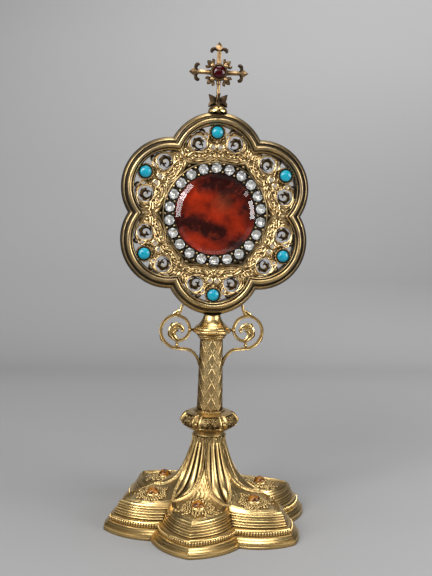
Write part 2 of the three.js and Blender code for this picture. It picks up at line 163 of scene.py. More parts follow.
def giltMetal(name):
    # bright metal, worn brown in patches, and dark in the hollows and where the tone is high: grime mixed
    # with painted shade
    look = looks[name]
    shader = Shader(name, Metallic=1.0)
    tone = shader.node("Attribute", {"attribute_name": "tone"}, {}, "Fac")
    cloud = shader.noise(wear["cloud"], 4.0).between(*wear["cloudSpan"])
    speck = shader.noise(wear["speck"], 2.0)
    worn = (cloud * look["patches"] + speck * wear["speckWear"]).clamp()
    # painted shade and grime: the hollows and the point tone pull the colour towards dark
    grimeAndShade = shader.hollows(look["reach"]) * look["grimeAndShade"] + tone
    grimeAndShade = (grimeAndShade + speck * wear["speckGrime"] - wear["clean"]).clamp()
    colour = shader.mix(worn, look["bright"], look["worn"])
    colour = shader.mix(grimeAndShade, colour, look["dark"])
    rough = worn * wear["wornRough"] + grimeAndShade * wear["grimeRough"] + look["roughness"]
    grain = shader.bump(shader.noise(wear["grain"], 2.0), wear["grainDepth"], wear["grainShare"])
    return shader.surface(Base_Color=colour, Roughness=rough, Normal=grain)


def turquoiseFinish():
    shader = Shader("turquoiseStone", Roughness=0.2)
    cloud = shader.noise(320, 4.0).between(0.3, 0.75)
    colour = shader.mix(cloud, (0.002, 0.185, 0.29, 1), (0.007, 0.31, 0.39, 1))
    return shader.surface(Base_Color=colour)


def clearStone(name, colour, rough, ior, clear=1.0):
    return Shader(name, Base_Color=colour, Roughness=rough, IOR=ior, Transmission_Weight=clear).material


silk = {
    "red": (0.42, 0.028, 0.002, 1), "dark": (0.035, 0.004, 0.003, 1), "thread": (0.40, 0.045, 0.008, 1),
    # dark spots, [x, height from the middle of the head, reach], and one pale smudge
    "spots": [(14, 17, 19), (3, 21, 12), (-21, -5, 12), (-10, -8, 11), (0, -12, 10), (11, -20, 14),
              (24, -1, 12), (-7, 19, 8)],
    "smudge": (0.27, 0.075, 0.033, 1), "smudgeSpot": (5, 7), "smudgeReach": 9, "smudgeShare": 0.55,
}


def silkFinish():
    shader = Shader("agedSilk", Specular_IOR_Level=0.12)
    fine = shader.noise(260, 4.0)
    shade = shader.noise(85, 5.0).between(0.40, 0.70) * 0.75
    for x, z, reach in silk["spots"]:
        shade = shade + shader.near((x, z), reach)
    colour = shader.mix(shade.clamp(), silk["red"], silk["dark"])
    colour = shader.mix(fine.between(0.55, 0.8) * 0.4, colour, silk["thread"])
    smudge = shader.near(silk["smudgeSpot"], silk["smudgeReach"]) * silk["smudgeShare"]
    colour = shader.mix(smudge, colour, silk["smudge"])
    return shader.surface(Base_Color=colour, Roughness=fine * 0.3 + 0.35,
                          Normal=shader.bump(shader.noise(190, 3.0), 0.0012, 0.6))


def citrineFinish():
    shader = Shader("citrineStone", Roughness=0.2, IOR=1.4)
    depth = shader.noise(330, 3.0).between(0.42, 0.62)
    return shader.surface(Base_Color=shader.mix(depth, (0.30, 0.115, 0.011, 1), (0.03, 0.006, 0.002, 1)))


# the backdrop's painted light, as [from, to, gain] with the way back and the height, and its slants to the
# right
paper = {
    "back": (0.08, 0.42, 0.23), "up": (0.1, 0.45, 0.25), "base": 0.63, "shade": 0.388, "middle": 1.05,
    "slant": 0.1, "floorSlant": 1.0, "floorEnd": 0.1, "topSlant": 2.8, "white": (1, 0.994, 0.998, 1),
}


def paperFinish():
    shader = Shader("backdropPaper", Roughness=0.85)
    x, y, z = (shader.node("SeparateXYZ", {}, {"Vector": shader.place()}, axis) for axis in range(3))
    right = x.math("MAXIMUM", 0.0)
    across = x * paper["slant"] + right * (1 - z.between(0.0, paper["floorEnd"])) * paper["floorSlant"]
    across = across + x * z * z * paper["topSlant"] + paper["middle"]
    (near, far, backGain), (low, high, upGain) = paper["back"], paper["up"]
    light = y.between(near, far) * backGain + z.between(low, high) * upGain + paper["base"]
    light = light * across * paper["shade"]
    return shader.surface(Base_Color=shader.mix(light, (0, 0, 0, 1), paper["white"]))


finishes = {name: giltMetal(name) for name in looks}
finishes.update({
    "turquoise": turquoiseFinish(),
    "silk": silkFinish(),
    "paste": clearStone("pasteStone", (0.97, 0.98, 0.98, 1), 0.03, 1.6),
    "citrine": citrineFinish(),
    "garnet": clearStone("garnetStone", (0.03, 0.001, 0.002, 1), 0.1, 1.4, 0.0),
    "crystal": clearStone("crystal", (1.0, 0.9, 0.82, 1), 0.0, 1.38),
    "foil": Shader("foil", Base_Color=(0.98, 0.98, 0.97, 1), Metallic=1.0, Roughness=0.29).material,
})
print("finishes made")


# Surfaces: each is its points, its faces and the tone of each point: 1 dark, 0 plain, below 0 lighter; the
# tone mostly paints shade

def sheet(points, loop=False, ends=True, tone=0.0):
    # a grid of points, closed round its second way; loop closes the first way too, or else ends cap it
    rows, columns = points.shape[:2]
    index = np.arange(rows * columns).reshape(rows, columns)
    u = np.arange(rows if loop else rows - 1)
    v = np.arange(columns)
    after = [np.ix_((u + i) % rows, (v + j) % columns) for i, j in ((0, 0), (0, 1), (1, 1), (1, 0))]
    quads = np.stack([index[part] for part in after], -1).reshape(-1, 4)
    faces = quads.tolist()
    if ends and not loop:
        faces += [index[0][::-1].tolist(), index[-1].tolist()]
    spots = points.reshape(-1, 3)
    a, b, c, d = (spots[quads[:, i]] - spots.mean(0) for i in range(4))
    volume = np.einsum("ij,ij->i", a, np.cross(b, c) + np.cross(c, d)).sum()
    if volume < 0:
        faces = [face[::-1] for face in faces]
    return spots, faces, np.broadcast_to(tone, (rows, columns)).reshape(-1)


def merge(surfaces):
    # several surfaces as one, with the corners of each one's faces counted on from the last
    spots, faces, tones = [], [], []
    start = 0
    for points, some, tone in surfaces:
        spots.append(points)
        tones.append(tone)
        faces += [[corner + start for corner in face] for face in some]
        start += len(points)
    return np.concatenate(spots), faces, np.concatenate(tones)


def spline(points, steps):
    # Catmull-Rom curve through the points, with a number of steps for each stretch
    p = np.asarray(points, float)
    p = np.vstack([2 * p[0] - p[1], p, 2 * p[-1] - p[-2]])
    t = np.linspace(0, 1, steps, endpoint=False)[:, None, None]
    a, b, c, d = p[:-3], p[1:-2], p[2:-1], p[3:]
    bend = (a - 2.5 * b + 2 * c - 0.5 * d) * t**2
    curve = b + 0.5 * (c - a) * t + bend + (1.5 * (b - c) + 0.5 * (d - a)) * t**3
    return np.vstack([curve.transpose(1, 0, 2).reshape(-1, p.shape[1]), p[-2:-1]])


def sweep(path, up, section, half, deep, loop=False, tone=0.0):
    # carries a section, [across, up] in units of half and deep, along a path
    path = np.asarray(path, float)
    ahead = np.roll(path, -1, 0) - np.roll(path, 1, 0) if loop else np.gradient(path, axis=0)
    up = np.broadcast_to(up, path.shape)
    side = np.cross(ahead, up)
    side /= np.linalg.norm(side, axis=1, keepdims=True) + 1e-9
    across = side[:, None] * section[None, :, :1] * np.broadcast_to(half, len(path))[:, None, None]
    rise = up[:, None] * section[None, :, 1:] * np.broadcast_to(deep, len(path))[:, None, None]
    return sheet(path[:, None] + across + rise, loop, True, tone)


def roundSection(sides):
    turn = np.linspace(0, 2 * np.pi, sides, endpoint=False)
    return np.stack([np.cos(turn), np.sin(turn)], 1)


# a leaf's section: thin edges, two swells and a sharp vein between them
leafSection = np.array([[1, 0], [0.8, 0.55], [0.4, 0.8], [0.12, 0.45], [0, 1], [-0.12, 0.45], [-0.4, 0.8],
                        [-0.8, 0.55], [-1, 0], [-0.6, -0.6], [0.6, -0.6]])


def about(radius, heading, height):
    # points about the upright axis; heading 0 is the front
    return np.stack(np.broadcast_arrays(radius * np.sin(heading), -radius * np.cos(heading), height), -1)


def turned(profile, columns, steps=1, ripple=None, tone=0.0):
    # a profile, [radius, height], turned about +Z; ripple gives the radius from the turn, height and radius
    profile = spline(profile, steps) if steps > 1 else np.asarray(profile, float)
    turn = np.linspace(0, 2 * np.pi, columns, endpoint=False)
    radius = profile[:, :1] + 0 * turn
    if ripple:
        radius = ripple(turn + 0 * radius, profile[:, 1:] + 0 * turn, radius)
    return sheet(about(radius, turn, profile[:, 1:]), tone=tone)


def spiral(side, middle, reach, shrink, start, turns, count):
    # a curl about a place, [aside, out], whose reach shrinks as it turns
    t = np.linspace(0, 1, count)
    r = reach - shrink * t
    turn = start + turns * t
    return np.stack([side * (middle[0] + r * np.cos(turn)), middle[1] + r * np.sin(turn)], 1)


def facing(surface, x, z, depth=0.0):
    # turns a surface made along +Z to face the front, and puts it in the head
    points, faces, tone = surface
    return np.stack([points[:, 0] + x, depth - points[:, 2], points[:, 1] + z], 1), faces, tone


def moved(surface, offset):
    points, faces, tone = surface
    return points + offset, faces, tone


def ball(around=8, up=5):
    rise = np.linspace(-0.5, 0.5, up + 2)[1:-1] * np.pi
    ring = roundSection(around)
    return sheet(np.stack([np.outer(np.cos(rise), ring[:, 0]), np.outer(np.cos(rise), ring[:, 1]),
                           np.outer(np.sin(rise), np.ones(around))], -1))


def beads(places, radius, tone=0.0, stretch=(1, 1, 1)):
    # a small ball at each place
    points, faces, _ = ball()
    points = points * stretch
    places = np.asarray(places, float).reshape(-1, 3)
    radius = np.broadcast_to(radius, len(places))
    spots = (places[:, None] + points[None] * radius[:, None, None]).reshape(-1, 3)
    count = len(points)
    some = [[corner + i * count for corner in face] for i in range(len(places)) for face in faces]
    return spots, some, np.full(len(spots), float(tone))


def putPiece(name, surfaces, finish, replaced=(), crease=38):
    spots, faces, tone = merge(surfaces)
    mesh = bpy.data.meshes.new(name)
    mesh.from_pydata((spots * mm).tolist(), [], faces)
    mesh.attributes.new("tone", "FLOAT", "POINT").data.foreach_set("value", tone.astype(np.float32))
    mesh.shade_smooth()
    mesh.set_sharp_from_angle(angle=math.radians(crease))
    mesh.materials.append(finishes[finish])
    piece = bpy.data.objects.new(name, mesh)
    bpy.context.scene.collection.objects.link(piece)
    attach(piece, "root")
    if replaced:
        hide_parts(*replaced)


def step(x, low, high):
    # smooth step from 0 at low to 1 at high
    t = np.clip((x - low) / (high - low), 0, 1)
    return t * t * (3 - 2 * t)


def ridge(x, place, width):
    # a smooth bump at a place
    return np.exp(-(((x - place) / width) ** 2))


def within(x, low, full, end, high):
    # rises from low to full, and falls from end to high
    return step(x, low, full) * step(x, high, end)


# The foot

foot = {
    "tip": 72.8, "notch": 56.9, "bulge": 4.2, "notchInset": 1.57, "columns": 468,
    "neck": 10.3, "neckHeight": 59, "panelHeight": 19.4, "flare": 8.8, "panelInset": 12.5,
    "panelTip": 12.6, "panelSpread": 1.8, "drop": 0.8, "crisp": 0.0025,
    # each reed's width and swell, from the bottom up
    "reeds": [(1.1, 0.65), (0.35, 0.2), (1.0, 0.6), (0.35, 0.2), (1.3, 0.75), (0.35, 0.2), (0.7, 0.4),
              (0.3, 0.15), (1.3, 0.75), (0.35, 0.2)],
    "under": [(9.2, 42), (24, 22)], "underEdge": [(15, 17.4), (12.2, 15.6), (2.6, 0)],
    "plinth": [(0.05, 0), (0, 0.25), (0, 1.5), (0.35, 1.8), (0.15, 2.1), (0.3, 3.1), (0.9, 3.4), (0.8, 3.7),
               (1.6, 4.4), (2.0, 4.6), (2.0, 4.9), (2.7, 5.5), (3.2, 5.8), (3.3, 6.2), (3.9, 6.4),
               (4.5, 6.6), (4.6, 9.2), (4.5, 9.5), (4.7, 9.9), (5.2, 10.3), (6.2, 10.4), (7.2, 10.4)],
    "reedFoot": (7.4, 10.5), "reedTop": (11.1, 18.1), "lip": [(11.4, 18.3), (11.6, 18.9), (12.0, 19.2)],
    "band": 4.6, "bandTone": -0.3, "granule": 0.76, "granulePlace": (4.4, 7.95), "granuleGap": 1.8,
    "granuleStretch": (1, 1, 1.8), "flutes": 12, "fluteDepth": 1.5, "fluteSpan": (10.4, 12.5, 33, 40),
    # raised lines beside a panel and inside its rim: places, height and width
    "rails": ((0.4, 1.6), 0.7, 0.28), "contours": ((1.6, 2.7, 3.8, 4.9), 0.45, 0.26), "chasing": 0.15,
}
# pearls and claws: distance from the stone's middle, height and radius
citrine = {"out": 39.3, "floor": 0.6, "radius": 4.1, "height": 4.7, "claws": (4.15, 1.9, 0.55),
           "pearls": (5.3, 0.75, 0.6),
           "wall": [(4.0, -0.6), (5.6, -0.6), (5.6, 0.4), (5.2, 0.7), (4.9, 0.8), (4.7, 1.3), (4.5, 1.7),
                    (4.2, 1.7), (4.0, 0.8)],
           # rings of granules round the setting, [radius, number]
           "granules": [(6.6, 19), (8.3, 24), (9.9, 28)]}


def footOutline(angle, inset):
    # arcs from lobe tip to notch: distance from the centre at an angle off the lobe's axis
    tip = np.stack(np.broadcast_arrays(0 * inset, foot["tip"] - inset), -1)
    reach = foot["notch"] - inset * foot["notchInset"]
    notch = np.stack([reach * math.sin(sixth / 2), reach * math.cos(sixth / 2)], -1)
    chord = notch - tip
    length = np.linalg.norm(chord, axis=-1)
    arc = length**2 / (8 * foot["bulge"]) + foot["bulge"] / 2
    outward = np.stack([-chord[..., 1], chord[..., 0]], -1) / length[..., None]
    centre = (tip + notch) / 2 + outward * (foot["bulge"] - arc)[..., None]
    along = centre[..., 0] * np.sin(abs(angle)) + centre[..., 1] * np.cos(angle)
    return along + np.sqrt(arc**2 - (centre**2).sum(-1) + along**2)


def trumpet(radius):
    # the height of the foot's top, which falls off exponentially from the neck
    rise = foot["neckHeight"] - foot["panelHeight"]
    return foot["panelHeight"] + rise * np.exp((foot["neck"] - radius) / foot["flare"])


def panelHalf(radius):
    # half the width of a lobe's panel, a power of the distance from its inner tip
    inner = footOutline(sixth / 2, np.array(foot["panelInset"]))
    share = np.clip((radius - foot["panelTip"]) / (inner - foot["panelTip"]), 0, None)
    return inner / 2 * share ** foot["panelSpread"]


def footPoint(lobe, aside, out, lift=0.0):
    # a point on a lobe's top panel, lifted off it
    aside, out, lobe = (np.asarray(value, float) for value in (aside, out, lobe))
    radius = np.hypot(aside, out)
    heading = footTurn + lobe * sixth + np.arctan2(aside, out)
    return about(radius, heading, trumpet(radius) - foot["drop"] + lift)


def footSurface():
    # close columns beside each tip and notch keep their edges crisp
    corners = np.arange(2 * lobes) * sixth / 2
    even = np.arange(foot["columns"]) * 2 * np.pi / foot["columns"]
    turn = np.sort(np.concatenate([even, corners - foot["crisp"], corners + foot["crisp"]]) % (2 * np.pi))
    angle = (turn + sixth / 2) % sixth - sixth / 2
    width, swell = np.array(foot["reeds"]).T
    ends = np.cumsum(np.concatenate([[0], width])) / width.sum()
    bow = np.linspace(0, 1, 7)[:-1]
    along = (ends[:-1, None] + np.diff(ends)[:, None] * bow).reshape(-1, 1)
    swell = (swell[:, None] * np.sqrt(np.sin(np.pi * bow))).reshape(-1, 1)
    reedLine = np.array(foot["reedFoot"]) * (1 - along) + np.array(foot["reedTop"]) * along
    reedLine = reedLine + swell * np.array([[-0.92, 0.39]])
    mouldings = np.vstack([foot["underEdge"], foot["plinth"], reedLine, foot["lip"]])
    under = np.array(foot["under"])
    radius = footOutline(angle[None], mouldings[:, :1])
    height = mouldings[:, 1:] + 0 * radius

    # the top runs from the panel's edge up the trumpet, with relief along the surface's normal
    share = 1 - np.concatenate([np.linspace(0, 0.16, 34), np.linspace(0.16, 1, 64)[1:]])[:, None]
    edge = footOutline(angle, np.array(foot["panelInset"]))
    out = foot["neck"] + (edge - foot["neck"]) * share
    gap = panelHalf(out) - out * np.sin(np.abs(angle))
    fromEdge = edge - out
    relief = -foot["drop"] * step(gap, 0, 0.5) * step(fromEdge, 0.2, 0.9)
    rails, high, wide = foot["rails"]
    for line in rails:
        relief = relief + high * ridge(gap, -line, wide)
    contours, high, wide = foot["contours"]
    for line in contours:
        relief = relief + high * ridge(fromEdge, line, wide) * step(gap, 1.0, 2.0)
    chased = np.sin(2.2 * out * np.sin(angle) + 1.5 * np.sin(0.8 * out)) * np.sin(1.5 * out)
    field = step(gap, 0.6, 1.6) * step(fromEdge, 5.6, 6.6)
    relief = relief + foot["chasing"] * chased * field
    outside = step(-gap, 2.2, 3.4) * within(out, *foot["fluteSpan"])
    flute = np.abs(np.sin(foot["flutes"] * turn))
    relief = relief + outside * foot["fluteDepth"] * (np.sqrt(flute) - 0.75)
    slope = -(trumpet(out) - foot["panelHeight"]) / foot["flare"]
    steep = np.sqrt(1 + slope**2)
    topRadius = out - slope / steep * relief
    topHeight = trumpet(out) + relief / steep

    # painted shade: dark between the reeds, in the neck's grooves and up towards the neck; the panels'
    # fields are darker and the granules' band lighter
    tone = 0.3 * field * step(out, 20, 30) + 0.9 * outside * step(flute, 0.8, 0.2) + 0.3 * step(out, 24, 14)
    lower = np.zeros((len(under) + len(mouldings), 1))
    lower[len(under):][(mouldings[:, 0] == foot["band"])] = foot["bandTone"]
    lower[-len(foot["lip"]) - len(reedLine):-len(foot["lip"])] = 0.5 * (swell < 0.1)
    tone = np.vstack([lower + 0 * angle, tone])

    radius = np.vstack([under[:, :1] + 0 * angle, radius, topRadius])
    height = np.vstack([under[:, 1:] + 0 * angle, height, topHeight])
    return sheet(about(radius, footTurn + turn, height), tone=tone)


def footGranules():
    # granules in the hollow band, at even steps along the outline
    turn = np.linspace(0, 2 * np.pi, 2400, endpoint=False)
    angle = (turn + sixth / 2) % sixth - sixth / 2
    inset, height = foot["granulePlace"]
    line = about(footOutline(angle, np.array(inset)), footTurn + turn, height)
    run = np.concatenate([[0], np.cumsum(np.linalg.norm(np.diff(line, axis=0), axis=1))])
    stops = np.linspace(0, run[-1], int(run[-1] / foot["granuleGap"]), endpoint=False)
    places = line[np.searchsorted(run, stops)]
    return beads(places, foot["granule"], foot["bandTone"], foot["granuleStretch"])


filigree = {
    # curled wires, [aside, out, size, first turn, way]; granules on both sides; granules at the lobe's ends
    "curls": [(9.6, 40.6, 3.0, 0.4, 1), (7.4, 33.6, 2.0, 2.2, -1), (13.6, 43.6, 1.9, 3.6, -1),
              (6.6, 46.6, 2.0, 5.0, 1)],
    "spots": [(12.9, 39.4), (10.2, 36.2), (11.4, 45.2), (9.2, 44.6), (5.2, 36.4), (15.6, 41.6),
              (8.2, 49.2)],
    "ends": [(0, 31.4), (-1.3, 30.2), (1.3, 30.2), (0, 28.9), (0, 47.6), (-1.4, 48.8), (1.4, 48.8),
             (0, 50.2)],
    "shrink": 0.78, "turns": 3.1, "wire": (0.34, 0.5), "squeeze": 0.8,
    "tipBall": 0.62, "spotBall": 0.7, "ringBall": 0.82, "endBall": 0.75,
}


def filigreeSurface(lobe):
    # curls that shrink as they turn, each ending in a granule, with granules between and round the setting
    made = []
    for side in (-1, 1):
        for aside, out, size, start, way in filigree["curls"]:
            turns = way * filigree["turns"] * np.pi
            curl = spiral(side, (aside, out), size, size * filigree["shrink"], start, turns, 26)
            path = footPoint(lobe, curl[:, 0], curl[:, 1], 0.2)
            made.append(sweep(path, (0, 0, 1), roundSection(6), *filigree["wire"]))
            made.append(beads(path[-1:] + [0, 0, 0.15], filigree["tipBall"]))
        places = [footPoint(lobe, side * a, o, 0.25) for a, o in filigree["spots"]]
        made.append(beads(places, filigree["spotBall"]))
    for reach, count in citrine["granules"]:
        ring = roundSection(count) * reach
        out = citrine["out"] + ring[:, 1] * filigree["squeeze"]
        made.append(beads(footPoint(lobe, ring[:, 0], out, 0.3), filigree["ringBall"]))
    places = [footPoint(lobe, a, o, 0.2) for a, o in filigree["ends"]]
    made.append(beads(places, filigree["endBall"]))
    return merge(made)


def citrineBezel(lobe):
    # a turned wall with a ring of pearls round it and claws on its edge
    made = [turned(citrine["wall"], 40)]
    for name, count in (("pearls", 16), ("claws", 8)):
        reach, height, radius = citrine[name]
        made.append(beads(np.insert(roundSection(count) * reach, 2, height, 1), radius))
    return moved(merge(made), footPoint(lobe, 0, citrine["out"]))


def cabochon(radius, height, tone=0.0):
    # half an ellipse turned round, on a short straight girdle
    t = np.linspace(0, 0.5, 12)[:-1] * np.pi
    profile = [(radius, 0)] + [(radius * math.cos(a), height * (0.25 + 0.75 * math.sin(a))) for a in t]
    return turned(profile, 32, tone=tone)


putPiece("footShell", [footSurface()], "gilt", ["foot"])
putPiece("footGranules", [footGranules()], "gilt")
putPiece("footFiligree", [filigreeSurface(k) for k in range(lobes)], "gilt")
putPiece("citrineBezels", [citrineBezel(k) for k in range(lobes)], "gilt")
stone = cabochon(citrine["radius"], citrine["height"])
stones = [moved(stone, footPoint(k, 0, citrine["out"], citrine["floor"])) for k in range(lobes)]
putPiece("citrines", stones, "citrine", [f"citrine_{k + 1}" for k in range(lobes)])
print("foot made")


# The knot, stem and collar

knot = {
    "profile": [(9.8, 58.9), (10.5, 59.0), (10.9, 59.8), (10.3, 60.6), (10.7, 61.3), (12.2, 62.2),
                (15.4, 63.8), (17.9, 66.1), (19.1, 68.0), (19.4, 69.2), (19.2, 70.4), (18.3, 72.1),
                (16.5, 73.9), (13.2, 75.2), (10.6, 75.6), (10.4, 76.4), (9.2, 76.6)],
    # heights where the relief and the sunk fields begin and end, and of the border's runs and the slot
    "span": (60.8, 62.6, 73.8, 75.2), "fieldSpan": (66.3, 66.9, 73.7, 74.2), "runs": (66.0, 74.4),
    "slotAt": 62.5,
    "belt": 70.2, "flatness": 0.4, "corner": (19.0, 69.3), "knob": 1.25,
    "panelEdge": 0.40, "border": 0.75, "sunk": 0.95, "slot": 1.2, "groove": 1.3, "flower": 0.9,
    "flowers": [(0, 0), (0, 1.9), (-1.8, -0.5), (1.8, -0.5), (-3.8, 2.3), (3.8, 2.3), (-3.6, -2.2),
                (3.6, -2.2), (0, -2.6)],
    # small leaves round the top of the neck: number, course and half widths
    "neckLeaves": 18, "leafRise": [(10.9, 55.4), (10.8, 57.4), (11.4, 59.3)],
    "leafHalf": [(1.5,), (1.4,), (0.2,)],
}
stem = {
    "bottom": 75.9, "top": 125.2, "bottomRadius": 8.6, "topRadius": 7.5, "around": 10, "rows": 5,
    "depth": 0.38,
    "flankShade": 0.5, "ground": 0.42, "lineTone": 0.5,
}
collar = {
    "profile": [(7.4, 124.6), (8.6, 125.2), (9.1, 125.8), (8.8, 126.3), (9.5, 126.6), (10.1, 127.3),
                (9.8, 128.0), (10.4, 128.3), (12.1, 128.9), (12.9, 129.8), (12.8, 130.6), (12.0, 131.0),
                (11.6, 131.4), (11.8, 131.8), (11.3, 132.7), (10.5, 133.6), (9.2, 134.6), (7.9, 136.0),
                (6.6, 138.0), (5.8, 140.0), (5.5, 141.2), (6.1, 142.2), (6.3, 144)],
}


def knotRipple(turn, height, radius):
    # six flat panels with grooves between, each with a raised border, flowers in a sunk field and a slot
    angle = (turn - knotTurn + sixth / 2) % sixth - sixth / 2
    side = np.abs(angle)
    belt = within(height, *knot["span"])
    flat = radius * knot["flatness"] * (math.cos(sixth / 2) / np.cos(angle) - 1)
    upright = step(height, 65.6, 66.2)
    low, high = knot["runs"]
    level = (side < knot["panelEdge"]) * (ridge(height, low, 0.35) + ridge(height, high, 0.3))
    border = ridge(side, knot["panelEdge"], 0.026) * upright + level
    field = step(side, 0.37, 0.34) * within(height, *knot["fieldSpan"])
    slot = ridge(height, knot["slotAt"], 0.7) * step(side, 0.36, 0.28)
    groove = step(side, 0.43, 0.50) * (0.4 + 0.6 * upright)
    relief = knot["border"] * border - knot["sunk"] * field - knot["slot"] * slot - knot["groove"] * groove
    for aside, up in knot["flowers"]:
        far = np.hypot(angle * radius - aside, height - knot["belt"] - up)
        relief = relief + knot["flower"] * ridge(far, 0.8, 0.36) * field
    return radius + belt * (relief + flat)


def stemLines(turn, height):
    # 1 on the crossed lines, falling off between them
    around = turn * stem["around"] / (2 * np.pi)
    along = (height - stem["bottom"]) / (stem["top"] - stem["bottom"]) * stem["rows"]
    far = 0.5 - np.maximum(abs((around + along) % 1 - 0.5), abs((around - along) % 1 - 0.5))
    return ridge(far, 0, 0.08) + 0.4 * ridge(far, 0.27, 0.06)


def stemRipple(turn, height, radius):
    # crossed lines stand up between long, slightly hollowed lozenges
    return radius + stem["depth"] * (stemLines(turn, height) - 0.4)


def knotKnobs():
    out, high = knot["corner"]
    return beads(about(out, knotTurn + sixth * (np.arange(lobes) + 0.5), high), knot["knob"])


def neckLeaves():
    # a leaf's section carried up the neck, once for each even step round it
    made = []
    rise = np.array(knot["leafRise"])
    half = spline(knot["leafHalf"], 5)[:, 0]
    for i in range(knot["neckLeaves"]):
        heading = footTurn + i * 2 * np.pi / knot["neckLeaves"]
        path = spline(about(rise[:, 0], heading, rise[:, 1]), 5)
        made.append(sweep(path, about(1, heading, 0.2), leafSection, half, 0.6))
    return merge(made)


rings, faces, _ = turned(knot["profile"], 480, 8, knotRipple)
sunk = np.hypot(*turned(knot["profile"], 480, 8)[0].T[:2]) - np.hypot(*rings.T[:2])
# painted shade: darker where the surface is sunk, and at the left and right
tone = 0.1 + 0.5 * step(sunk, 0.5, 2.2) + 0.3 * step(np.abs(rings[:, 0]), 14, 19)
putPiece("knotBody", [(rings, faces, tone), knotKnobs(), neckLeaves()], "knotGilt", ["knot"])
stemLine = np.linspace((stem["bottomRadius"], stem["bottom"]), (stem["topRadius"], stem["top"]), 150)
column, faces, _ = turned(stemLine, 180, 1, stemRipple)
# painted shade: the column darkens towards its left and right edges
flankShade = stem["flankShade"] * step(np.abs(column[:, 0]) / stem["topRadius"], 0.62, 1.0)
heading = np.arctan2(column[:, 0], -column[:, 1]) % (2 * np.pi)
tone = flankShade + stem["ground"] - stem["lineTone"] * stemLines(heading, column[:, 2])
putPiece("stemColumn", [(column, faces, tone)], "stemGilt", ["stem"])
points, faces, tone = turned(collar["profile"], 96, 4)
points[:, 2] = np.minimum(points[:, 2], headHeight - rimOut - np.sqrt(rimRoom**2 - points[:, 0] ** 2))
# the collar takes the knot's darker gilt, painted shade standing for the dark reflections across its top
putPiece("collarBody", [(points, faces, tone)], "knotGilt", ["collar"])
print("knot, stem and collar made")


# The head: places are [aside, out] in a lobe

rim = {
    "segments": 44,
    # [radius in the lobe, depth, tone], the tone being painted shade, darkest in the grooves
    "section": [(32.7, 6.0, 0.6), (32.7, -0.6, 0.85), (32.6, -1.6, 0.9), (32.2, -2.4, 0.8),
                (31.6, -3.0, 0.75), (31.1, -3.3, 0.6), (30.9, -3.7, 0.05), (30.5, -3.9, 0),
                (30.1, -3.7, 0.2), (29.9, -3.2, 0.8), (29.4, -3.3, 0.65), (28.9, -3.8, 0.4),
                (28.6, -4.6, 0.15), (28.3, -5.4, 0.05), (27.8, -6.1, 0), (27.0, -6.4, 0),
                (26.2, -6.1, 0.05), (25.8, -5.5, 0.3), (25.6, -4.6, 1), (25.4, -4.3, 0.9),
                (25.2, -4.6, 0.1), (24.8, -4.7, 0), (24.4, -4.4, 0.1), (24.2, -3.0, 0.6), (24.2, 1.6, 0.6),
                (23.9, 1.6, 0.5), (23.9, 6.0, 0.4)],
}
